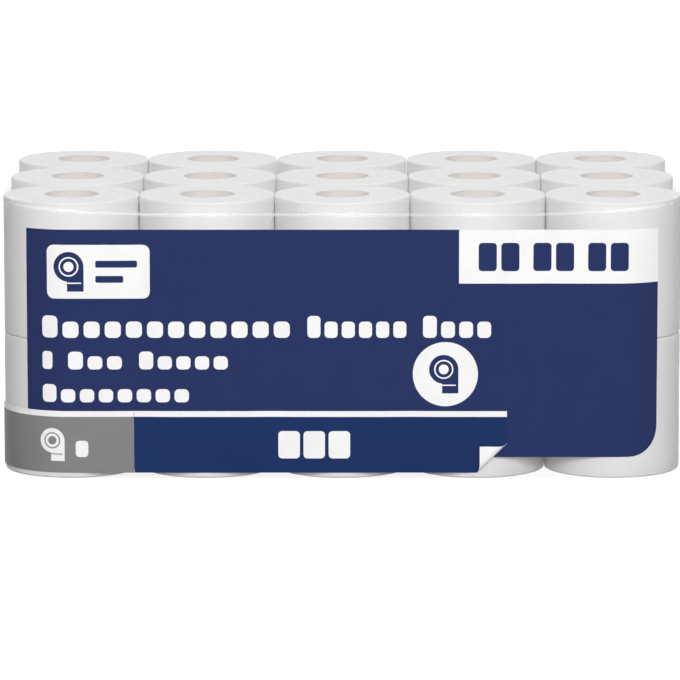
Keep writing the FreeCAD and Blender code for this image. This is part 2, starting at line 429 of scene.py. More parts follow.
@dataclass(frozen=True)
class PrintFinish:
    """Ink on a satin label, or the label's bare back."""

    name: str
    colour: Colour
    roughness: float = 0.42
    specular: float = 0.06
    unevenness: float = 0.05
    tint: float = 0.02
    cloud_grain: float = 45.0
    tooth_grain: float = 900.0
    depth: float = 0.5 * MM

    def material(self) -> bpy.types.Material:
        """Builds the printed surface.

        Returns:
            The material.
        """
        sketch = NodeSketch(bpy.data.materials.new(self.name))
        cloud, tooth = sketch.grain(self.cloud_grain, 2.0), sketch.grain(self.tooth_grain)
        paler = tuple(min(1.0, channel * (1 + self.tint) + 0.0004) for channel in self.colour)
        darker = tuple(channel * (1 - self.tint) for channel in self.colour)
        colour = sketch.blend(sketch.ramp(cloud, 0.35, 0.65), darker, paler)
        satin = (self.roughness - self.unevenness, self.roughness + self.unevenness)
        normal = sketch.bump(sketch.total(cloud, (tooth, 0.05)), self.depth, 0.25)
        shader = sketch.add("BsdfPrincipled", colour, Specular_IOR_Level=self.specular, Normal=normal)
        sketch.feed(shader, "Roughness", sketch.ramp(tooth, 0.2, 0.8, satin))
        return sketch.done(shader)


INKS = {
    Ink.NAVY: PrintFinish("navy_print", srgb(42, 54, 98)),
    Ink.WHITE: PrintFinish("white_print", (0.965, 0.962, 0.955), 0.48),
    Ink.GREY: PrintFinish("grey_print", srgb(136, 136, 136)),
    Ink.BLUE: PrintFinish("blue_print", srgb(31, 52, 99)),
}
SKIN = {
    SkinLook.CLEAR: FilmFinish(),
    # The crease looks whiten the film along the top front edge: partly the folded film's whitening, partly a
    # painted highlight.
    SkinLook.CREASE_EDGE: FilmFinish("crease_edge_painted_highlight", haze_and_highlight=0.08, roughness=0.1),
    SkinLook.CREASE: FilmFinish("creased_film_painted_highlight", haze_and_highlight=0.26, roughness=0.2),
    SkinLook.DRAWN: FilmFinish("drawn_film", grazing_mirror=0.22),
}
FLAP = {
    FlapLook.FOLDED: FilmFinish("folded_film", haze_and_highlight=0.09, roughness=0.12),
    FlapLook.SEALED: FilmFinish("sealed_film", haze_and_highlight=0.22, roughness=0.2, ribs=1.6 * MM),
}


class Wardrobe:
    """The finished materials, each made once."""

    def __init__(self) -> None:
        """Builds every material of the pack."""
        self.tissue = [TissueFinish().web(), TissueFinish().cut_end()]
        self.board = [CardFinish().material()]
        self.skin = [SKIN[look].material() for look in SkinLook]
        self.flap = [FLAP[look].material() for look in FlapLook]
        self.inks = [INKS[ink].material() for ink in Ink]


@dataclass(frozen=True)
class PackLayout:
    """Where the model's rolls and film are."""

    column_x: tuple[float, ...]
    row_y: tuple[float, ...]
    roll_radius: float
    winding_bore: float
    film_gap: float
    half_depth: float
    height: float

    @classmethod
    def from_frame(cls, nodes: Sequence[str]) -> "PackLayout":
        """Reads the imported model's boxes.

        Args:
            nodes: The names of the model's nodes.

        Returns:
            The layout.
        """
        columns = sum(name.startswith("core_pair_front_") for name in nodes)

        def middle(column: int, row: Row) -> Vector:
            """Gives the middle of a pair of cores."""
            return sum(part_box(f"core_pair_{row.value}_{column}"), Vector()) / 2

        column_x = tuple(middle(column, Row.FRONT).x for column in range(1, columns + 1))
        row_y = tuple(middle(1, row).y for row in Row)
        core_low, core_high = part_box("core_pair_front_1")
        radius = column_x[0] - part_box("upper_roll_front_1")[0].x
        film_low, film_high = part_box("film_wrap")
        return cls(
            column_x=column_x,
            row_y=row_y,
            roll_radius=radius,
            winding_bore=(core_high.x - core_low.x) / 2 + 0.05 * MM,
            film_gap=row_y[0] - radius - film_low.y,
            half_depth=-film_low.y,
            height=film_high.z,
        )

    def gaps(self, places: Sequence[float]) -> tuple[float, ...]:
        """Gives where neighbouring rolls touch, halfway between their places along one axis."""
        return tuple((first + second) / 2 for first, second in zip(places, places[1:]))


def mesh_piece(
    name: str,
    points: Sequence[Sequence[float]],
    faces: Sequence[Sequence[int]],
    materials: Sequence[bpy.types.Material],
    slots: Sequence[int] | None = None,
    crease: float = 40.0,
    origin: Point3 = (0.0, 0.0, 0.0),
) -> bpy.types.Object:
    """Makes a smooth-shaded object with sharp creases and lets it ride on the pack.

    Args:
        name: The piece's name.
        points: Its corners, relative to origin.
        faces: Its faces, as places in points, anticlockwise from outside.
        materials: Its materials.
        slots: Each face's place in materials, or None where all show the first.
        crease: The angle in degrees from which an edge is sharp.
        origin: Where the object stands.

    Returns:
        The object.
    """
    mesh = bpy.data.meshes.new(name)
    mesh.from_pydata([tuple(point) for point in points], [], [tuple(face) for face in faces])
    for material in materials:
        mesh.materials.append(material)
    mesh.polygons.foreach_set("use_smooth", [True] * len(mesh.polygons))
    if slots is not None:
        mesh.polygons.foreach_set("material_index", list(slots))
    mesh.set_sharp_from_angle(angle=math.radians(crease))
    mesh.update()
    piece = bpy.data.objects.new(name, mesh)
    piece.location = origin
    bpy.context.scene.collection.objects.link(piece)
    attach(piece, BODY)
    return piece


def lathe_faces(around: int, along: int) -> np.ndarray:
    """Joins a ring of closed sections, as on a lathe.

    Args:
        around: How many sections there are.
        along: How many points each section has.

    Returns:
        The four-sided faces, one row each, in the order of the sections.
    """
    section, point = np.meshgrid(np.arange(around), np.arange(along), indexing="ij")
    after, beside = (section + 1) % around, (point + 1) % along
    here, there = section * along, after * along
    corners = (here + point, there + point, there + beside, here + beside)
    return np.stack(corners, axis=-1).reshape(-1, 4)


@dataclass
class TissueRoll:
    """One roll's wound web, pressed by its neighbours and, at one end, by the film."""

    name: str
    centre: Point2
    layer: Layer
    layout: PackLayout
    tail: float
    seed: int
    segments: int = 128
    turns: int = 26
    grooves: int = 3
    groove_width: float = 1.2 * MM
    groove_depth: float = 0.4 * MM
    slipped: float = 0.10 * MM
    waver: float = 0.08 * MM
    pressed_rounding: float = 1.3 * MM
    pressed_softness: float = 0.12 * MM
    least_press: float = 0.3 * MM
    cut_edge: float = 1.6 * MM
    tail_step: float = 0.4 * MM
    tail_run: float = math.radians(70)
    tail_edge: float = math.radians(0.08)
    slack: float = 0.16 * MM
    belly: float = 0.12 * MM
    belly_length: float = 17 * MM
    side_rings: int = 9

    def __post_init__(self) -> None:
        """Reads the roll's own place and starts its own random draws."""
        self.low, self.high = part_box(self.name)
        self.draw = np.random.default_rng(self.seed)

    def _angles(self) -> np.ndarray:
        """Gives the directions that the roll's sections stand in, with a pair at the tail's step."""
        even = np.arange(self.segments) * WHOLE_TURN / self.segments
        return np.sort(np.append(even, self.tail + self.tail_edge * np.array((-1, 1))) % WHOLE_TURN)

    def _girth(self, angles: np.ndarray) -> np.ndarray:
        """Gives the roll's radius: out of round, stepped at the tail, flat at its neighbours.

        Args:
            angles: The directions that the roll's sections stand in.

        Returns:
            The radius in each direction.
        """
        full = self.layout.roll_radius
        girth = full - self.slack * (0.5 + 0.5 * np.sin(2 * angles + self.draw.uniform(0, WHOLE_TURN)))
        past_tail = (angles - self.tail) % WHOLE_TURN
        girth -= np.where(past_tail < self.tail_run, self.tail_step * (1 - past_tail / self.tail_run), 0)
        x, y = self.centre
        reaches = (self.high.x - x, self.high.y - y, x - self.low.x, y - self.low.y)
        for quarter, reach in enumerate(reaches):
            if reach >= full - self.least_press:
                continue
            facing = np.cos(angles - quarter * math.pi / 2)
            flat = np.where(facing > 0.3, reach / np.maximum(facing, 0.3), 1.0)
            nearest = np.minimum(girth, flat)
            softness = self.pressed_softness
            spread = np.exp((nearest - girth) / softness) + np.exp((nearest - flat) / softness)
            girth = nearest - softness * np.log(spread)
        return girth

    def _face_rings(self) -> list[Point2]:
        """Gives the rings of the end that the film covers.

        Returns:
            Each ring's share of the way from bore to rim, and how deep it lies in a groove.
        """
        width = self.layout.roll_radius - self.pressed_rounding - self.layout.winding_bore
        half = self.groove_width / 2 / width
        marks = [(number + 1) / (self.grooves + 1) for number in range(self.grooves)]
        shares = np.linspace(0, 1, self.turns + 1)
        rings = [(share, 0.0) for share in shares if all(abs(share - mark) > 1.3 * half for mark in marks)]
        for mark in marks:
            rings += [(mark - half, 0.0), (mark, self.groove_depth), (mark + half, 0.0)]
        return sorted(rings)

    def _covered(self, level: float, inward: float) -> list[RingPoint]:
        """Gives the section of the end that the film covers, from bore to rim.

        Args:
            level: The end's height.
            inward: 1 where the roll lies above that end, -1 where it lies below.

        Returns:
            The section's points.
        """
        points = []
        for share, depth in self._face_rings():
            sunk = depth + self.slipped * self.draw.random() ** 2
            added = (1 - share) * self.layout.winding_bore - share * self.pressed_rounding
            points.append((share, added, level + inward * sunk, True))
        return points

    @staticmethod
    def _edge(radius: float, level: float, inward: float, steps: int) -> list[RingPoint]:
        """Gives the rounded edge between an end and the side, from the end.

        Args:
            radius: The edge's radius.
            level: The end's height.
            inward: 1 where the roll lies above that end, -1 where it lies below.
            steps: How many pieces the edge has.

        Returns:
            The section's points.
        """
        points = []
        for turn in quarter_turn(steps)[1:-1]:
            rise = inward * radius * (1 - math.cos(turn))
            points.append((1.0, -radius * (1 - math.sin(turn)), level + rise, False))
        return points

    def _section(self) -> list[RingPoint]:
        """Gives the roll's half section from the bore's foot outwards, up and back.

        Returns:
            The section's points: a share of the girth, a length added to it, a height, and
            whether the point is on an end.
        """
        bore, cut, height = self.layout.winding_bore, self.cut_edge, self.high.z - self.low.z
        plain = ((0.0, bore), (0.5, 0.5 * bore), (1.0, -cut))
        foot_face, top_face = ([(*place, level, True) for place in plain] for level in (0.0, height))
        if self.layer is Layer.UPPER:
            top_edge, top_face = self.pressed_rounding, self._covered(height, -1.0)
        else:
            top_edge, foot_face = cut, self._covered(0.0, 1.0) + foot_face[-1:]
        levels = np.linspace(cut, height - top_edge, self.side_rings)
        side = self._edge(cut, 0.0, 1.0, 4) + [(1.0, 0.0, level, False) for level in levels]
        return foot_face + side + (top_face + self._edge(top_edge, height, -1.0, 8))[::-1]

    def build(self, wardrobe: Wardrobe) -> bpy.types.Object:
        """Makes the roll and lets it stand for the model's.

        Args:
            wardrobe: The pack's materials.

        Returns:
            The roll.
        """
        angles = self._angles()
        girth, section = self._girth(angles), self._section()
        shares, added, heights, on_end = (np.array(column) for column in zip(*section))
        sway = self.draw.uniform(0, WHOLE_TURN, 2)
        around = angles[:, None]
        radius = girth[:, None] * shares + added
        belly = self.belly * np.sin(heights / self.belly_length + 1.7 * around + sway[0])
        radius -= np.where(on_end, 0.0, np.abs(belly))
        waver = self.waver * (1 + np.sin(3 * around + shares * 9 + sway[1]))
        covered = on_end & (shares > 0.02) & (shares < 0.999)
        inward = np.where(heights > (self.high.z - self.low.z) / 2, -1.0, 1.0)
        levels = heights + np.where(covered, inward * waver, 0.0)
        points = np.stack((radius * np.cos(around), radius * np.sin(around), levels), axis=-1).reshape(-1, 3)
        both_ends = on_end & np.roll(on_end, -1)
        both_ends[-1] = False
        slots = np.tile(both_ends.astype(int), len(angles)).tolist()
        faces = lathe_faces(len(angles), len(section)).tolist()
        origin = (*self.centre, self.low.z)
        roll = mesh_piece(f"{self.name}.web", points.tolist(), faces, wardrobe.tissue, slots, 50.0, origin)
        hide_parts(self.name)
        return roll


@dataclass
class CorePair:
    """The two card cores that stand one on the other."""

    name: str
    layers: int = 2
    seam: float = 0.2 * MM
    wall: float = 1.0 * MM
    lip: float = 0.25 * MM
    segments: int = 88
    wall_rings: int = 6
    crush: float = 0.12 * MM

    def build(self, wardrobe: Wardrobe) -> bpy.types.Object:
        """Makes the cores and lets them stand for the model's.

        Args:
            wardrobe: The pack's materials.

        Returns:
            Both cores, as one piece.
        """
        low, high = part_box(self.name)
        outside = (high.x - low.x) / 2
        inside = outside - self.wall
        height = (high.z - low.z - self.seam * (self.layers - 1)) / self.layers
        section = [(inside + self.lip, 0.0), (outside - self.lip, 0.0), (outside, self.lip)]
        section += [(outside, height - self.lip), (outside - self.lip, height), (inside + self.lip, height)]
        section += [(inside, level) for level in np.linspace(height - self.lip, self.lip, self.wall_rings)]
        points, faces = [], []
        for layer in range(self.layers):
            faces += (lathe_faces(self.segments, len(section)) + len(points)).tolist()
            foot = layer * (height + self.seam)
            for angle in np.arange(self.segments) * WHOLE_TURN / self.segments:
                squeeze = self.crush * math.cos(2 * angle + layer)
                for radius, level in section:
                    reach = radius + (squeeze if radius == inside else 0.0)
                    points.append((reach * math.cos(angle), reach * math.sin(angle), level + foot))
        centre = (low + high) / 2
        origin = (centre.x, centre.y, low.z)
        cores = mesh_piece(f"{self.name}.board", points, faces, wardrobe.board, None, 60.0, origin)
        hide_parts(self.name)
        return cores


@dataclass(frozen=True)
class Pucker:
    """One kind of shallow pucker in the film, read from smooth noise."""

    depth: float
    across: float
    up: float
    start: float

    def at(self, across: float, up: float) -> float:
        """Gives how far the film stands out at a place."""
        return self.depth * noise_at(across * self.across, up * self.up, self.start)


@dataclass
class WrapPath:
    """The film's way round the pack, seen from above, and how it dips and puckers.

    A place on it is a length along the film from the middle of the front, positive to the right of
    someone who faces the labels, and a height.
    """

    layout: PackLayout
    crease_drop: float = 8.7 * MM
    corner_climb: float = 5.7 * MM
    bead: float = 0.14 * MM
    bead_width: float = 1.6 * MM
    dip: float = 0.65 * MM
    dip_width: float = 12.5 * MM
    slack: float = 0.06 * MM
    foot_ease: Point2 = (4 * MM, 45 * MM)
    top_ease: Point2 = (4 * MM, 40 * MM)
    end_ease: Point2 = (-60 * MM, 20 * MM)
    climb_ease: Point2 = (-70 * MM, 69 * MM)
    puckers: tuple[Pucker, ...] = (
        Pucker(0.045 * MM, 34.0, 7.0, 3.1),
        Pucker(0.012 * MM, 120.0, 26.0, 8.7),
        Pucker(0.02 * MM, 16.0, 90.0, 5.3),
    )
    end_pucker: Pucker = Pucker(0.05 * MM, 9.0, 75.0, 12.4)
    pull: float = 0.10 * MM

    def __post_init__(self) -> None:
        """Works out the way round the pack."""
        layout = self.layout
        self.corner = layout.roll_radius + layout.film_gap
        self.half_x = layout.column_x[-1] + self.corner
        self.half_y = layout.half_depth
        self.front = self.half_x - self.corner
        self.bend = self.corner * math.pi / 2
        self.side = 2 * (self.half_y - self.corner)
        self.end_middle = self.front + self.bend + self.side / 2
        self.half_length = 2 * self.front + 2 * self.bend + self.side
        self.column_gaps = layout.gaps(layout.column_x)
        self.row_gaps = layout.gaps(layout.row_y)
        self.crease_height = layout.height - self.crease_drop

    def wrapped(self, along: float) -> float:
        """Brings a length along the film that runs past the middle of the back round to its other side."""
        return along - 2 * self.half_length if along > self.half_length else along

    def plan(self, along: float) -> tuple[float, float, float, float]:
        """Finds a place on the way round, with the direction that it faces.

        Args:
            along: The length along the film from the middle of the front.

        Returns:
            X, Y, and the outward direction's X and Y.
        """
        along = self.wrapped(along)
        right, back = math.copysign(1.0, along), -1.0
        run = abs(along)
        if run > self.end_middle:
            run, back = self.half_length - run, 1.0
        if run <= self.front:
            return right * run, back * self.half_y, 0.0, back
        if run <= self.front + self.bend:
            turn = (run - self.front) / self.corner
            x = self.front + self.corner * math.sin(turn)
            y = self.half_y - self.corner + self.corner * math.cos(turn)
            return right * x, back * y, right * math.sin(turn), back * math.cos(turn)
        return right * self.half_x, back * (self.end_middle - run), right, 0.0

    def along(self, x: float, y: float) -> float:
        """Finds the length along the film of a place on it, seen from above.

        Args:
            x: The place's X.
            y: The place's Y.

        Returns:
            The length from the middle of the front, without regard to the film's relief.
        """
        past = (abs(x) - self.front, abs(y) - (self.half_y - self.corner))
        if past[0] <= 0:
            run = abs(x) if y < 0 else self.half_length - abs(x)
        elif past[1] <= 0:
            run = self.end_middle + y
        else:
            turn = math.atan2(past[0], past[1]) * self.corner
            run = self.front + turn if y < 0 else self.half_length - self.front - turn
        return math.copysign(run, x)

    def inside(self, x: float, y: float) -> float:
        """Gives how far inside the film's way a place is, seen from above."""
        past = (abs(x) - self.half_x + self.corner, abs(y) - self.half_y + self.corner)
        return self.corner - math.hypot(max(past[0], 0.0), max(past[1], 0.0))

    def relief(self, along: float, height: float) -> float:
        """Gives how far the film stands out of its way, which is mostly a little inwards.

        Args:
            along: The length along the film from the middle of the front.
            height: The height above the floor.

        Returns:
            The distance outwards.
        """
        along = self.wrapped(along)
        x, y, out_x, out_y = self.plan(along)
        top = self.layout.height
        window = eased(*self.foot_ease, height) * eased(*self.top_ease, top - height)
        gaps, place = (self.column_gaps, x) if abs(out_y) > abs(out_x) else (self.row_gaps, y)
        straight = max(abs(out_x), abs(out_y)) ** 12
        value = -self.dip * sum(bell(place - gap, self.dip_width) for gap in gaps) * window * straight
        value += sum(pucker.at(along, height) for pucker in self.puckers) - self.slack
        value += eased(*self.end_ease, abs(along) - self.front) * self.end_pucker.at(along, height)
        slope = (height - top / 2) * 22.0
        value += self.pull * abs(out_x) ** 4 * noise_at(y * 30.0 + slope, y * 30.0 - slope, x)
        return value + self._crease(along, height)

    def crease_rise(self, along: float) -> float:
        """Gives how far the crease climbs above its usual height as it goes round a corner."""
        return self.corner_climb * eased(*self.climb_ease, abs(along) - self.front)

    def _crease(self, along: float, height: float) -> float:
        """Gives the low bead where the film turns over the pack's top edge, as a distance outwards."""
        off = height - self.crease_height - self.crease_rise(along)
        return self.bead * bell(off, self.bead_width) - self.bead / 2 * bell(off, 4 * self.bead_width)

    def place(self, along: float, height: float, lift: float = 0.0) -> Point3:
        """Finds a point on the film or above it.

        Args:
            along: The length along the film from the middle of the front.
            height: The height above the floor.
            lift: The distance off the film.

        Returns:
            The point.
        """
        x, y, out_x, out_y = self.plan(along)
        reach = self.relief(along, height) + lift
        return x + out_x * reach, y + out_y * reach, height

    def stations(self, spacing: float) -> list[float]:
        """Gives evenly spread places all the way round.

        Args:
            spacing: The most that two of them are apart.

        Returns:
            The lengths along the film, in order.
        """
        start, right = 0.0, []
        for length in (self.front, self.bend, self.side, self.bend, self.front):
            count = math.ceil(length / spacing)
            right += [start + length * step / count for step in range(count)]
            start += length
        return sorted([-along for along in right[1:]] + right + [self.half_length])


@dataclass(frozen=True)
class PrintField:
    """A closed patch of a sheet that looks unlike the rest."""

    outline: tuple[Point2, ...]
    look: IntEnum


def rounded_patch(low: Point2, high: Point2, radius: float, steps: int = 5) -> tuple[Point2, ...]:
    """Draws a rectangle with round corners.

    Args:
        low: Its lower left corner.
        high: Its upper right corner.
        radius: The corners' radius.
        steps: How many pieces a corner has.

    Returns:
        The outline, anticlockwise.
    """
    left, foot, right, top = low[0] + radius, low[1] + radius, high[0] - radius, high[1] - radius
    points = []
    for quarter, centre in enumerate(((right, foot), (right, top), (left, top), (left, foot))):
        for step in range(steps + 1):
            angle = math.pi / 2 * (quarter - 1 + step / steps)
            points.append((centre[0] + radius * math.cos(angle), centre[1] + radius * math.sin(angle)))
    return tuple(points)


def block(low: Point2, high: Point2, radius: float, look: IntEnum, steps: int = 5) -> PrintField:
    """Makes a field of a rectangle with round corners, as rounded_patch draws it."""
    return PrintField(rounded_patch(low, high, radius, steps), look)


def disc(centre: Point2, radius: float, steps: int = 40) -> tuple[Point2, ...]:
    """Draws a circle, anticlockwise and in so many steps."""
    turns = [WHOLE_TURN * step / steps for step in range(steps)]
    return tuple((centre[0] + radius * math.cos(turn), centre[1] + radius * math.sin(turn)) for turn in turns)


def divided(outline: Sequence[Point2], longest: float) -> list[Point2]:
    """Divides an outline's long edges, so that a sheet cut to it can follow the film.

    Args:
        outline: The outline's corners.
        longest: The most that an edge may measure.

    Returns:
        The corners with the new points between them.
    """
    points = []
    for start, end in zip(outline, (*outline[1:], outline[0])):
        count = max(1, math.ceil(math.dist(start, end) / longest))
        for share in (step / count for step in range(count)):
            points.append((start[0] + (end[0] - start[0]) * share, start[1] + (end[1] - start[1]) * share))
    return points


def roll_sign(centre: Point2, size: float, ink: Ink, ground: Ink) -> list[PrintField]:
    """Draws a plain sign of a roll from its end, with a sheet hanging from it.

    Args:
        centre: The sign's middle.
        size: The sign's height.
        ink: What it is printed with.
        ground: What it is printed on.

    Returns:
        The sign's fields.
    """
    radius = size * 0.36
    middle = (centre[0] - size * 0.04, centre[1] + size * 0.12)
    right, left = middle[0] + radius, middle[0] + radius - size * 0.40
    slit_top = middle[1] - radius * 1.06
    slit = ((left - size * 0.005, slit_top - size * 0.03), (right - size * 0.06, slit_top))
    rings = ((1.0, ink), (0.66, ground), (0.56, ink), (0.34, ground))
    return [
        block((left, centre[1] - size * 0.48), (right, middle[1]), size * 0.015, ink, 2),
        *(PrintField(disc(middle, radius * share), look) for share, look in rings),
        block(*slit, size * 0.008, ground, 2),
    ]


def word_blocks(start: float, end: float, count: int, low: float, high: float, ink: Ink) -> list[PrintField]:
    """Draws a blank word: a row of plain blocks, the first of them the tallest.

    Args:
        start: Where the word starts along the label.
        end: Where it ends.
        count: How many blocks it has.
        low: Its foot.
        high: The top of its first block.
        ink: What it is printed with.

    Returns:
        The blocks.
    """
    step = (end - start) / count
    width = step * 0.76
    radius = min(width, high - low) * 0.30
    tops = [high] + [low + (high - low) * 0.74] * (count - 1)
    lefts = [start + number * step for number in range(count)]
    return [block((left, low), (left + width, top), radius, ink, 4) for left, top in zip(lefts, tops)]


def figures(
    lefts: Sequence[float], width: float, low: float, high: float, radius: float, ink: Ink
) -> list[PrintField]:
    """Draws a blank block, of one size and from low to high, for each figure that starts at the lefts."""
    return [block((left, low), (left + width, high), radius, ink) for left in lefts]


@dataclass(frozen=True)
class CornerFold:
    """A corner of a label that has come up and rolled over the rest.

    It starts with a tight bend, which a wider one follows, and ends flat.
    """

    crease: Point2
    leg: float
    radius: float = 1.0 * MM
    turn: float = math.radians(112)
    wide_radius: float = 3.9 * MM
    whole_turn: float = math.radians(184)
    bend_spacing: float = 0.35 * MM
    flat_spacing: float = 1.5 * MM
    row_spacing: float = 1.6 * MM

    def beyond(self, point: Point2) -> float:
        """Gives how far a point of the flat label lies past the crease, square to it."""
        return ((point[0] - self.crease[0]) - (point[1] - self.crease[1])) * HALF_ROOT

    def bend(self, along: float, height: float, level: float) -> Point3:
        """Moves a point of the flat label to where the fold takes it.

        Args:
            along: The point's length along the film.
            height: The point's height above the floor.
            level: How far the point is off the film.

        Returns:
            The same three lengths after the fold.
        """
        beyond = self.beyond((along, height))
        if beyond <= 0:
            return along, height, level
        angle = min(beyond / self.radius, self.turn)
        rolled = min((beyond - self.radius * angle) / self.wide_radius + angle, self.whole_turn)
        flat = beyond - self.radius * angle - self.wide_radius * (rolled - angle)
        out = self.radius * math.sin(angle) + self.wide_radius * (math.sin(rolled) - math.sin(angle))
        rise = self.radius * (1 - math.cos(angle)) + self.wide_radius * (math.cos(angle) - math.cos(rolled))
        out += flat * math.cos(rolled) - level * math.sin(rolled)
        rise += flat * math.sin(rolled) + level * math.cos(rolled)
        shift = (out - beyond) * HALF_ROOT
        return along + shift, height - shift, rise

    def net(self) -> list[Point2]:
        """Lays points in rows along the crease, close together where the corner bends.

        Returns:
            The points, which fill the corner from just before the crease to its tip.
        """
        bent = self.radius * self.turn + self.wide_radius * (self.whole_turn - self.turn)
        tip = self.leg * HALF_ROOT
        points = []
        for row in (*np.arange(-1.2 * MM, bent, self.bend_spacing), *np.arange(bent, tip, self.flat_spacing)):
            reach = tip - row
            for run in np.linspace(-reach, reach, max(3, round(2 * reach / self.row_spacing))):
                shift = ((row + run) * HALF_ROOT, (run - row) * HALF_ROOT)
                points.append((self.crease[0] + shift[0], self.crease[1] + shift[1]))
        return points


@dataclass
class PressedSheet:
    """A thin sheet that lies on the film and follows it round the corners."""

    name: str
    path: WrapPath
    outline: Sequence[Point2]
    ground: IntEnum
    back: IntEnum
    fields: Sequence[PrintField] = ()
    level: float = 0.02 * MM
    thickness: float = 0.12 * MM
    spacing: float = 3.6 * MM
    fold: CornerFold | None = None
    lift: Callable[[float, float], float] | None = None

    def _grid(self) -> list[Point2]:
        """Lays an even net of points over the flat sheet, and a closer one where it is folded.

        Returns:
            The points.
        """
        low, high = (tuple(pick(values) for values in zip(*self.outline)) for pick in (min, max))
        columns, lines = (max(2, round((high[axis] - low[axis]) / self.spacing)) for axis in (0, 1))
        points = []
        for column in range(columns + 1):
            for line in range(lines + 1):
                share = (column / columns, line / lines)
                points.append(tuple(low[axis] + (high[axis] - low[axis]) * share[axis] for axis in (0, 1)))
        if self.fold is None:
            return points
        points = [point for point in points if self.fold.beyond(point) < -2 * MM]
        for x, y in self.fold.net():
            if low[0] <= x <= high[0] + 1e-9 and low[1] - 1e-9 <= y <= high[1]:
                points.append((x, y))
        return points

    def _pattern(self) -> tuple[list[Point2], list[Face], list[int]]:
        """Cuts the flat sheet into triangles, each within one field.

        Returns:
            The corners, the triangles, and each triangle's place among the sheet's materials.
        """
        points: list[Point2] = []
        loops = []
        for shape in (self, *self.fields):
            dense = divided(shape.outline, self.spacing)
            loops.append(list(range(len(points), len(points) + len(dense))))
            points += dense
        points += self._grid()
        cut = delaunay_2d_cdt([Vector(point) for point in points], [], loops, 1, MERGE_DISTANCE)
        looks = [self.ground, *(field.look for field in self.fields)]
        slots = [int(looks[max(source, default=0)]) for source in cut[5]]
        return [tuple(corner) for corner in cut[0]], [tuple(face) for face in cut[2]], slots

    def _point(self, along: float, height: float, level: float) -> Point3:
        """Places one point of the sheet on the film.

        Args:
            along: The point's length along the film, on the flat sheet.
            height: Its height above the floor.
            level: How far it is off the film where nothing lifts the sheet.

        Returns:
            The point.
        """
        if self.lift is not None:
            level += self.lift(along, height)
        if self.fold is not None:
            along, height, level = self.fold.bend(along, height, level)
        return self.path.place(along, height, level)

    def build(self, materials: Sequence[bpy.types.Material]) -> bpy.types.Object:
        """Makes the sheet.

        Args:
            materials: Its materials.

        Returns:
            The sheet.
        """
        pattern, triangles, slots = self._pattern()
        points = [self._point(*place, self.level + self.thickness) for place in pattern]
        points += [self._point(*place, self.level) for place in pattern]
        count = len(pattern)
        faces = triangles + [tuple(count + corner for corner in reversed(face)) for face in triangles]
        sides = {(face[step], face[(step + 1) % 3]) for face in triangles for step in range(3)}
        rim = sorted(side for side in sides if side[::-1] not in sides)
        faces += [(start, count + start, count + end, end) for start, end in rim]
        slots += [int(self.back)] * (len(triangles) + len(rim))
        return mesh_piece(self.name, points, faces, materials, slots)


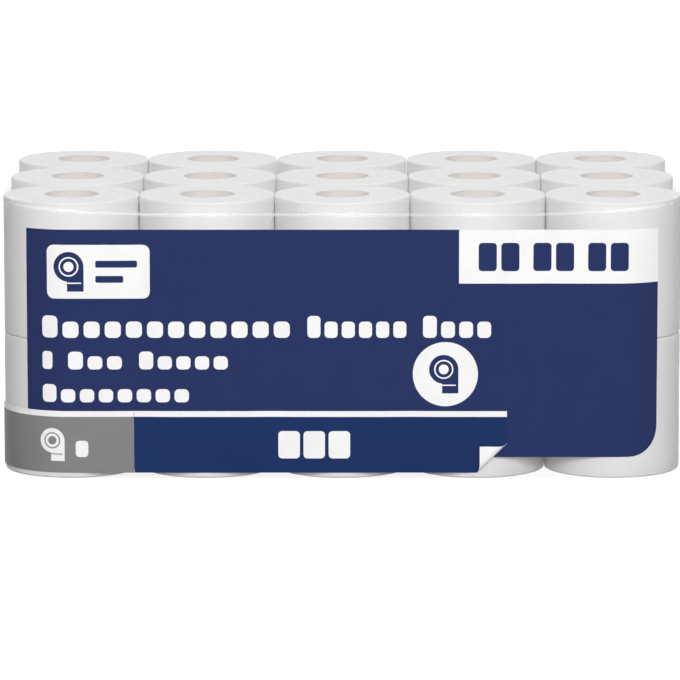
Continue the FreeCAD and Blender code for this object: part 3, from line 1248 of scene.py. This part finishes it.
@dataclass
class FilmWrap:
    """The clear film: its skin, the folds that close its ends and the lap across its back."""

    path: WrapPath
    thickness: float = 0.10 * MM
    spacing: float = 4.0 * MM
    foot_spacing: float = 9.0 * MM
    net_inset: float = 9.0 * MM
    rounding: float = 2.4 * MM
    side_rings: int = 46
    bore_dip: float = 0.55 * MM
    bore_ease: Point2 = (6 * MM, 21 * MM)
    hollow_dip: float = 0.8 * MM
    hollow_width: float = 13 * MM
    edge_ease: Point2 = (4 * MM, 30 * MM)
    top_puckers: tuple[Pucker, ...] = (
        Pucker(0.05 * MM, 20.0, 60.0, 1.9),
        Pucker(0.015 * MM, 90.0, 90.0, 6.1),
    )
    drawn_inside: float = 2 * MM
    # Half widths of the whitened crease band, fully and at its edge: partly the film's whitening, partly a
    # painted highlight.
    whitened_highlight_band: Point2 = (0.8 * MM, 1.5 * MM)
    edge_on: Point2 = (0.85, 0.97)
    flap_reach: float = 120 * MM
    flap_tip: float = 25 * MM
    flap_lap: float = 15 * MM
    flap_bow: float = 6 * MM
    flap_steps: int = 14
    flap_climb: float = 0.18 * MM
    flap_pucker: float = 0.10 * MM
    seal_half: Point2 = (55 * MM, 11 * MM)
    lap_low: float = 88 * MM
    lap_high: float = 112 * MM
    lap_lift: float = 0.12 * MM

    def _rings(self) -> list[Point3]:
        """Gives the skin's level rings from foot to top.

        Returns:
            Each ring's inset, its height, and how level the film is there.
        """
        radius, crease = self.rounding, self.path.crease_height
        rings = [
            (radius * (1 - math.sin(turn)), radius * (1 - math.cos(turn)), math.cos(turn))
            for turn in quarter_turn(5)[:-1]
        ]
        offsets = (-2.2, -1.6, -1.2, -0.9, -0.6, -0.3, 0.0, 0.3, 0.6, 0.9, 1.2, 1.6, 2.2)
        rings += [(0.0, level, 0.0) for level in np.linspace(radius, crease - 3 * MM, self.side_rings)]
        rings += [(0.0, crease + offset * MM, 0.0) for offset in offsets]
        shoulder = self.path.layout.height - radius
        return rings + [
            (radius * (1 - math.cos(turn)), shoulder + radius * math.sin(turn), math.sin(turn))
            for turn in quarter_turn(8)
        ]

    def _top_relief(self, x: float, y: float) -> float:
        """Gives how far the film dips over the bores and the hollows between four rolls.

        Args:
            x: The place's X.
            y: The place's Y.

        Returns:
            The distance upwards, which is mostly below 0.
        """
        path, dip = self.path, 0.0
        for centre_x in path.layout.column_x:
            for centre_y in path.layout.row_y:
                dip += self.bore_dip * (1 - eased(*self.bore_ease, math.hypot(x - centre_x, y - centre_y)))
        for gap_x in path.column_gaps:
            for gap_y in path.row_gaps:
                dip += self.hollow_dip * bell(math.hypot(x - gap_x, y - gap_y), self.hollow_width)
        inwards = eased(*self.edge_ease, min(path.half_x - abs(x), path.half_y - abs(y)))
        return sum(pucker.at(x, y) for pucker in self.top_puckers) - dip * inwards - path.slack

    def _skin_outside(self) -> tuple[list[Point3], list[Face]]:
        """Makes the outside of the film's skin.

        Returns:
            Its points and its faces.
        """
        path, rings = self.path, self._rings()
        top, crease = path.layout.height, path.crease_height
        stations = path.stations(self.spacing)
        count = len(stations)
        points, faces = [], []
        for inset, level_height, level in rings:
            near = eased(crease - 20 * MM, crease - 2.5 * MM, level_height)
            near *= eased(top - 0.5 * MM, crease + 2.5 * MM, level_height)
            for along in stations:
                height = level_height + path.crease_rise(along) * near
                x, y, out_x, out_y = path.plan(along)
                reach = path.relief(along, height) * (1 - level) - inset
                x, y = x + out_x * reach, y + out_y * reach
                rise = self._top_relief(x, y) * level if level and height > top / 2 else 0.0
                points.append((x, y, height + rise))
        for low in range(0, (len(rings) - 1) * count, count):
            for step in range(count):
                after = (step + 1) % count
                faces.append((low + step, low + after, low + count + after, low + count + step))
        self._close(points, faces, (len(rings) - 1) * count, count, True)
        self._close(points, faces, 0, count, False)
        return points, faces

    def _close(self, points: list[Point3], faces: list[Face], start: int, count: int, top: bool) -> None:
        """Closes the skin's top or foot with an even net inside its last ring.

        Args:
            points: The skin's points, which the net's are added to.
            faces: The skin's faces, which the net's are added to.
            start: Where the last ring starts in points.
            count: How many points the ring has.
            top: Whether the top is closed, or the foot.
        """
        ring = [Vector(points[start + step][:2]) for step in range(count)]
        spacing = self.spacing if top else self.foot_spacing
        inner_x, inner_y = self.path.half_x - self.net_inset, self.path.half_y - self.net_inset
        corner = self.path.corner - self.net_inset
        net = []
        for x in np.linspace(-inner_x, inner_x, round(2 * inner_x / spacing)):
            for y in np.linspace(-inner_y, inner_y, round(2 * inner_y / spacing)):
                past = Vector((max(abs(x) - inner_x + corner, 0), max(abs(y) - inner_y + corner, 0)))
                if past.length <= corner:
                    net.append(Vector((x, y)))
        cut = delaunay_2d_cdt(ring + net, [], [list(range(count))], 1, MERGE_DISTANCE)
        places = []
        for (x, y), sources in zip(cut[0], cut[3]):
            on_ring = [source for source in sources if source < count]
            places.append(start + on_ring[0] if on_ring else len(points))
            if not on_ring:
                points.append((x, y, self.path.layout.height + self._top_relief(x, y) if top else 0.0))
        for triangle in cut[2]:
            face = tuple(places[number] for number in triangle)
            faces.append(face if top else face[::-1])

    def _look(self, corners: np.ndarray) -> int:
        """Gives a face's look: clear at the sides, whiter at the crease, where the white is partly the film's
        whitening and partly a painted highlight, drawn tight over the top.

        Args:
            corners: The face's corners.

        Returns:
            The look's place among the skin's materials.
        """
        x, y, height = corners.mean(axis=0)
        top = self.path.layout.height
        within = self.path.inside(x, y) > self.drawn_inside
        if height > top - 0.4 * self.rounding or height > top / 2 and within:
            return int(SkinLook.DRAWN)
        along = self.path.along(x, y)
        off = abs(height - self.path.crease_height - self.path.crease_rise(along))
        sideways = abs(self.path.plan(along)[2])
        # The whitened crease, partly a painted highlight, is kept to faces that look to the front or back.
        if off < self.whitened_highlight_band[0] and sideways < self.edge_on[0]:
            return int(SkinLook.CREASE)
        edge = off < self.whitened_highlight_band[1] and sideways < self.edge_on[1]
        return int(SkinLook.CREASE_EDGE if edge else SkinLook.CLEAR)

    def _skin(self, wardrobe: Wardrobe) -> bpy.types.Object:
        """Makes the skin as a closed sheet with an outside and an inside.

        Args:
            wardrobe: The pack's materials.

        Returns:
            The skin.
        """
        points, faces = self._skin_outside()
        draft = bpy.data.meshes.new("skin_draft")
        draft.from_pydata(points, [], faces)
        normals = np.empty(len(points) * 3, np.float32)
        draft.vertices.foreach_get("normal", normals)
        bpy.data.meshes.remove(draft)
        outside = np.array(points)
        both = np.concatenate((outside, outside - normals.reshape(-1, 3) * self.thickness)).tolist()
        inner_faces = [tuple(len(points) + corner for corner in reversed(face)) for face in faces]
        looks = [self._look(outside[list(face)]) for face in faces]
        return mesh_piece("film_wrap.skin", both, faces + inner_faces, wardrobe.skin, looks * 2)

    def _flap(self, side: int, upper: bool) -> PressedSheet:
        """Describes one end flap: a sheet that narrows from the pack's edge to its free end.

        Args:
            side: 1 for the pack's right end, -1 for its left one.
            upper: Whether the flap comes from the top, or from the foot.

        Returns:
            The flap.
        """
        top, centre, folded = self.path.layout.height, side * self.path.end_middle, FlapLook.FOLDED
        middle, right = top / 2, []
        root, tip = self.rounding + 1 * MM, middle + self.flap_lap
        if upper:
            root, tip = top - self.rounding, middle - self.flap_lap
        for share in (step / self.flap_steps for step in range(self.flap_steps + 1)):
            bow = self.flap_bow * math.sin(share * math.pi)
            half = self.flap_reach + (self.flap_tip - self.flap_reach) * share - bow
            right.append((centre + half, root + (tip - root) * share))
        outline = right + [(2 * centre - along, height) for along, height in right[::-1]]
        phase = 2.0 if upper else 0.4

        def lift(along: float, height: float) -> float:
            """Lets the lower flap climb over the upper one, and both pucker towards the seal.

            Args:
                along: The length along the film.
                height: The height above the floor.

            Returns:
                How far the flap is lifted.
            """
            share = (height - root) / (tip - root)
            over = 0.0 if upper else self.flap_climb * eased(middle - 24 * MM, middle - 14 * MM, height)
            away = math.atan2(along - centre, abs(height - middle) + 30 * MM)
            pucker = self.flap_pucker * (0.5 + 0.5 * math.sin(away * 34.0 + phase + side))
            return over + pucker * eased(0.0, 0.35, share) * eased(0.0, 0.25, 1 - share)

        wide, tall = self.seal_half
        seal = rounded_patch((centre - wide, middle - tall), (centre + wide, middle + tall), 3 * MM, 3)
        fields = [] if upper else [PrintField(self._clipped(seal, outline), FlapLook.SEALED)]
        name = f"film_wrap.{'upper' if upper else 'lower'}_flap_{'right' if side > 0 else 'left'}"
        shape = outline[::-1] if upper else outline
        return PressedSheet(name, self.path, shape, folded, folded, fields, lift=lift)

    @staticmethod
    def _clipped(patch: Sequence[Point2], outline: Sequence[Point2]) -> tuple[Point2, ...]:
        """Keeps a patch within the width that a flap's outline has at the patch's heights.

        Args:
            patch: The patch's corners.
            outline: The flap's corners.

        Returns:
            The patch's corners, moved in where they lay too near the flap's sides.
        """
        margin, near = 6 * MM, 10 * MM
        centre = sum(point[0] for point in outline) / len(outline)
        kept = []
        for along, height in patch:
            reach = max(abs(point[0] - centre) for point in outline if abs(point[1] - height) <= near)
            limit = reach - margin
            kept.append((centre + max(-limit, min(limit, along - centre)), height))
        return tuple(kept)

    def _lap(self) -> PressedSheet:
        """Describes the lap that closes the film's tube across the back.

        Returns:
            The lap.
        """
        reach = self.path.front + 0.6 * self.path.bend
        left, right, top = self.path.half_length - reach, self.path.half_length + reach, self.lap_high
        low, high = (left + 1 * MM, top - 11 * MM), (right - 1 * MM, top - 4 * MM)
        seal = block(low, high, 1 * MM, FlapLook.SEALED, 2)

        def lift(along: float, height: float) -> float:
            """Lets the lap's free edge stand off a little, unevenly."""
            free = eased(self.lap_low + 10 * MM, self.lap_low, height)
            return free * self.lap_lift * (0.6 + 0.4 * noise_at(along * 30.0, 2.0, 7.0))

        outline = rounded_patch((left, self.lap_low), (right, top), 1 * MM, 2)
        folded = FlapLook.FOLDED
        return PressedSheet("film_wrap.back_lap", self.path, outline, folded, folded, [seal], lift=lift)

    def build(self, wardrobe: Wardrobe) -> list[bpy.types.Object]:
        """Makes the film's pieces and lets them stand for the model's film.

        Args:
            wardrobe: The pack's materials.

        Returns:
            The skin, the four end flaps and the lap.
        """
        sheets = [self._flap(side, upper) for side in (-1, 1) for upper in (True, False)] + [self._lap()]
        pieces = [self._skin(wardrobe), *(sheet.build(wardrobe.flap) for sheet in sheets)]
        for piece in pieces:
            piece.visible_shadow = False
        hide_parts("film_wrap")
        return pieces


@dataclass
class LabelSet:
    """The printed labels on the pack's front."""

    path: WrapPath
    label: float = 0.15 * MM
    glue: float = 0.05 * MM
    big_corner: float = 22 * MM
    rule: float = 4.2 * MM
    curl_leg: float = 22.3 * MM

    def _along(self, x: float) -> float:
        """Turns a place across the pack's front into a length along the film.

        Args:
            x: The place's X.

        Returns:
            The length from the middle of the front.
        """
        past = abs(x) - self.path.front
        if past <= 0:
            return x
        turn = math.asin(min(1.0, past / self.path.corner))
        return math.copysign(self.path.front + self.path.corner * turn, x)

    def _span(self, node: str) -> tuple[float, float, float, float]:
        """Gives a label's ends along the film, its foot and its top, from the model's box."""
        low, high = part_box(node)
        return self._along(low.x), self._along(high.x), low.z, high.z

    def _sheet(
        self, node: str, outline: Sequence[Point2], ground: Ink, fields: list[PrintField], layer: int = 1,
        **shape: float | CornerFold,
    ) -> PressedSheet:
        """Describes a label.

        Args:
            node: The model's node for it.
            outline: Its outline.
            ground: What it is printed with outside its fields.
            fields: What is printed on it.
            layer: How many labels are under it.
            shape: What else sets the sheet's shape.

        Returns:
            The label.
        """
        level = layer * (self.label + self.glue) + self.glue
        return PressedSheet(
            f"{node}.print", self.path, outline, ground, Ink.WHITE, fields, level, self.label, **shape
        )

    def _ruled(self, left: float, right: float, foot: float, top: float) -> tuple[list[Point2], PrintField]:
        """Draws a plain label with a white rule along its top.

        Args:
            left: Its left end along the film.
            right: Its right end.
            foot: Its foot.
            top: Its top.

        Returns:
            Its outline and its rule.
        """
        upper = [(right, top), (left, top)]
        rule = ((left, top - self.rule), (right, top - self.rule), *upper)
        return [(left, foot), (right, foot), *upper], PrintField(rule, Ink.WHITE)

    def _front(self, node: str) -> PressedSheet:
        """Describes the navy label with its blank words and its plain sign.

        Args:
            node: The model's node for it.

        Returns:
            The label.
        """
        left, right, foot, top = self._span(node)
        radius = self.big_corner
        turns = np.linspace(-math.pi / 2, 0, 10)
        inner = (right - radius, foot + radius)
        corner = [(inner[0] + radius * math.cos(turn), inner[1] + radius * math.sin(turn)) for turn in turns]
        sign_low, sign_high = (-212 * MM, top - 50 * MM), (-138 * MM, top - 11 * MM)
        middle = ((sign_low[0] + sign_high[0]) / 2, (sign_low[1] + sign_high[1]) / 2)
        fields = [block(sign_low, sign_high, 5 * MM, Ink.WHITE)]
        fields += roll_sign((middle[0] - 20 * MM, middle[1]), 30 * MM, Ink.NAVY, Ink.WHITE)
        for low, length in ((3 * MM, 30 * MM), (-8 * MM, 20 * MM)):
            start, bar_foot = middle[0] - 2 * MM, middle[1] + low
            fields.append(block((start, bar_foot), (start + length, bar_foot + 5 * MM), 1.2 * MM, Ink.NAVY))
        lines = (
            (103, 119, ((-216, -34, 12), (-25, 49, 6), (58, 110, 4))),
            (80, 93, ((-216, -206, 1), (-197, -155, 3), (-146, -79, 5))),
            (56, 69, ((-216, -107, 8),)),
        )
        for low, high, words in lines:
            for start, end, count in words:
                fields += word_blocks(start * MM, end * MM, count, low * MM, high * MM, Ink.WHITE)
        return self._sheet(node, [(left, foot), *corner, (right, top), (left, top)], Ink.NAVY, fields, 0)

    def _number(self, node: str) -> PressedSheet:
        """Describes the white label with three pairs of blank figures.

        Args:
            node: The model's node for it.

        Returns:
            The label.
        """
        left, right, foot, top = self._span(node)
        width, figure_step, pair_step, first = 13.0 * MM, 16.2 * MM, 39.2 * MM, left + 14 * MM
        lefts = [first + pair * pair_step + half * figure_step for pair in range(3) for half in range(2)]
        fields = figures(lefts, width, foot + 9 * MM, top - 9.5 * MM, 2.6 * MM, Ink.NAVY)
        return self._sheet(node, rounded_patch((left, foot), (right, top), 0.4 * MM, 2), Ink.WHITE, fields)

    def _round(self, node: str) -> PressedSheet:
        """Describes the round label with its plain sign of a roll.

        Args:
            node: The model's node for it.

        Returns:
            The label.
        """
        left, right, foot, top = self._span(node)
        centre, radius = ((left + right) / 2, (foot + top) / 2), (top - foot) / 2
        fields = roll_sign(centre, radius * 1.25, Ink.NAVY, Ink.WHITE)
        return self._sheet(node, disc(centre, radius, 96), Ink.WHITE, fields)

    def _count(self, node: str) -> PressedSheet:
        """Describes the grey label, which runs to the pack's left-hand side.

        Args:
            node: The model's node for it.

        Returns:
            The label.
        """
        _, right, foot, top = self._span(node)
        outline, rule = self._ruled(-(self.path.front + self.path.bend), right, foot, top)
        middle = (foot + top - self.rule) / 2
        fields = [rule, *roll_sign((-208 * MM, middle), 25 * MM, Ink.WHITE, Ink.GREY)]
        fields += word_blocks(-192 * MM, -180 * MM, 1, middle - 9 * MM, middle + 3 * MM, Ink.WHITE)
        return self._sheet(node, outline, Ink.GREY, fields)

    def _strip(self, node: str) -> PressedSheet:
        """Describes the blue strip with its blank figures and the corner that has come up.

        Args:
            node: The model's node for it.

        Returns:
            The strip.
        """
        _, _, foot, top = self._span(node)
        left = self._along(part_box("count_label")[1].x) + 0.2 * MM
        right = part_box(node)[1].x
        outline, rule = self._ruled(left, right, foot, top)
        middle = (foot + top - self.rule) / 2
        lefts = [(-46 + number * 18.1) * MM for number in range(3)]
        fields = figures(lefts, 15.5 * MM, middle - 10 * MM, middle + 10 * MM, 2.8 * MM, Ink.WHITE)
        fold = CornerFold((right - self.curl_leg / 2, foot + self.curl_leg / 2), self.curl_leg)
        return self._sheet(node, outline, Ink.BLUE, [rule, *fields], spacing=2.2 * MM, fold=fold)

    def build(self, wardrobe: Wardrobe) -> list[bpy.types.Object]:
        """Makes the labels and lets them stand for the model's.

        Args:
            wardrobe: The pack's materials.

        Returns:
            The labels.
        """
        designs = {
            "front_label": (self._front, "navy_print"),
            "number_label": (self._number, "white_print"),
            "round_label": (self._round, "white_print"),
            "count_label": (self._count, "grey_print"),
            "sheet_strip": (self._strip, "blue_print"),
        }
        pieces = []
        for node, (design, slot) in designs.items():
            piece = design(node).build(wardrobe.inks)
            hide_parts(node)
            pieces.append(piece)
        return pieces


@dataclass
class RollBlock:
    """All the rolls and cores of the pack."""

    layout: PackLayout
    tails: Point2 = (math.radians(62), math.radians(118))

    def build(self, wardrobe: Wardrobe) -> list[bpy.types.Object]:
        """Makes the rolls and their cores.

        Args:
            wardrobe: The pack's materials.

        Returns:
            The rolls and the pairs of cores.
        """
        pieces = []
        for row, y in zip(Row, self.layout.row_y):
            for column, x in enumerate(self.layout.column_x):
                place = f"{row.value}_{column + 1}"
                pieces.append(CorePair(f"core_pair_{place}").build(wardrobe))
                for layer in Layer:
                    seed = len(pieces) * 7 + 11
                    name = f"{layer.value}_roll_{place}"
                    roll = TissueRoll(name, (x, y), layer, self.layout, self.tails[column % 2], seed)
                    pieces.append(roll.build(wardrobe))
        return pieces


@dataclass(frozen=True)
class Lamp:
    """A soft rectangular lamp, or a strip that only shows as a reflection."""

    name: str
    place: Point3
    size: Point2
    power: float
    lights_up: bool = True
    mirrored: bool = False


LAMPS = (
    Lamp("front_light", (0.2, -3.2, 1.3), (1.7, 1.6), 86.0),
    Lamp("top_light", (0.1, -0.1, 2.6), (1.3, 1.3), 21.0),
    Lamp("back_light_left", (-1.6, 3.1, 0.8), (1.6, 1.2), 48.0),
    Lamp("back_light_right", (1.3, 3.2, 0.8), (1.6, 1.2), 40.0),
    Lamp("front_strip", (0.0, -2.6, 1.35), (3.2, 0.14), 12.0, False, True),
    Lamp("back_strip", (0.0, 2.8, 1.6), (3.0, 0.14), 9.0, False, True),
    Lamp("left_strip", (-2.8, 0.3, 1.4), (2.0, 0.14), 10.0, False, True),
    Lamp("right_strip", (2.8, 0.3, 1.4), (2.0, 0.14), 10.0, False, True),
)


@dataclass
class Studio:
    """The pale floor, the soft lights and the camera."""

    distance: float = 4.0576
    elevation: float = math.radians(9.392)
    aim: Point3 = (-0.0016, 0.0, 0.077)
    target: Point3 = (0.0, 0.0, 0.1)
    lens: float = 288.1
    sensor: float = 36.0
    sky: float = 0.18
    mirrored_sky: float = 1.0
    floor_reach: float = 12.0
    floor_albedo: float = 0.40
    floor_glow: float = 0.86
    white_from: float = 2.0

    def _floor(self) -> None:
        """Makes the floor: pale, white to the camera, and keeping the pack's shadow."""
        sketch = NodeSketch(bpy.data.materials.new("pale_floor"))
        path = sketch.add("LightPath").outputs
        seen = sketch.math("MAXIMUM", path["Is Camera Ray"], path["Is Glossy Ray"])
        seen = sketch.math("MAXIMUM", seen, path["Is Transmission Ray"])
        away = sketch.add("VectorMath", sketch.place(), operation="LENGTH")
        white = sketch.ramp(away.outputs["Value"], 0.5, self.white_from, (self.floor_glow, 1.0))
        pale = sketch.add("BsdfDiffuse", Color=(self.floor_albedo,) * 3)
        glow = sketch.add("Emission", Color=WHITE_LIGHT, Strength=sketch.math("MULTIPLY", seen, white))
        both = sketch.add("AddShader", pale.outputs[0], glow.outputs[0])
        mesh = bpy.data.meshes.new("floor")
        far = self.floor_reach
        mesh.from_pydata([(-far, -far, 0), (far, -far, 0), (far, far, 0), (-far, far, 0)], [], [(0, 1, 2, 3)])
        mesh.materials.append(sketch.done(both))
        floor = bpy.data.objects.new("floor", mesh)
        bpy.context.scene.collection.objects.link(floor)

    def _sky(self) -> None:
        """Makes the world: even soft light, and white where the camera or a mirror sees it."""
        world = bpy.data.worlds.new("studio")
        bpy.context.scene.world = world
        sketch = NodeSketch(world)
        path = sketch.add("LightPath").outputs
        soft, mirrored, backdrop = (
            sketch.add("Background", Color=WHITE_LIGHT, Strength=strength)
            for strength in (self.sky, self.mirrored_sky, 1.0)
        )
        reflected = sketch.math("MAXIMUM", path["Is Glossy Ray"], path["Is Transmission Ray"])
        unseen = sketch.cover(reflected, soft, mirrored)
        whole = sketch.cover(path["Is Camera Ray"], unseen, backdrop)
        sketch.add("OutputWorld", whole.outputs[0])

    def _hang(self, lamp: Lamp) -> None:
        """Hangs a lamp and points it at the pack.

        Args:
            lamp: The lamp.
        """
        light = bpy.data.lights.new(lamp.name, "AREA")
        light.shape = "RECTANGLE"
        light.size, light.size_y = lamp.size
        light.energy = lamp.power
        hung = bpy.data.objects.new(lamp.name, light)
        hung.location = lamp.place
        hung.rotation_euler = (Vector(self.target) - Vector(lamp.place)).to_track_quat("-Z", "Y").to_euler()
        hung.visible_diffuse = lamp.lights_up
        hung.visible_glossy = lamp.mirrored
        bpy.context.scene.collection.objects.link(hung)

    def _camera(self) -> None:
        """Sets the camera where the photograph was taken from."""
        data = bpy.data.cameras.new("camera")
        data.lens, data.sensor_width, data.sensor_fit = self.lens, self.sensor, "AUTO"
        data.clip_start, data.clip_end = 0.1, 60.0
        camera = bpy.data.objects.new("camera", data)
        back = Vector((0.0, -math.cos(self.elevation), math.sin(self.elevation)))
        camera.location = Vector(self.aim) + back * self.distance
        camera.rotation_euler = (-back).to_track_quat("-Z", "Y").to_euler()
        bpy.context.scene.collection.objects.link(camera)
        bpy.context.scene.camera = camera

    def build(self) -> None:
        """Sets the stage, the lights, the camera and how the picture is shown."""
        self._camera()
        self._floor()
        self._sky()
        for lamp in LAMPS:
            self._hang(lamp)
        scene = bpy.context.scene
        scene.view_settings.view_transform = "Standard"
        scene.cycles.transparent_max_bounces = FILM_CROSSINGS


def main() -> None:
    """Builds the pack's sub-assemblies in order and reports each piece."""
    logging.basicConfig(level=logging.INFO, format="%(name)s: %(message)s")
    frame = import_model()
    layout = PackLayout.from_frame(list(frame["nodes"]))
    path = WrapPath(layout)
    wardrobe = Wardrobe()
    for assembly in (RollBlock(layout), FilmWrap(path), LabelSet(path)):
        for piece in assembly.build(wardrobe):
            LOG.info("%s: %d faces", piece.name, len(piece.data.polygons))
    Studio().build()


if __name__ == "__main__":
    main()
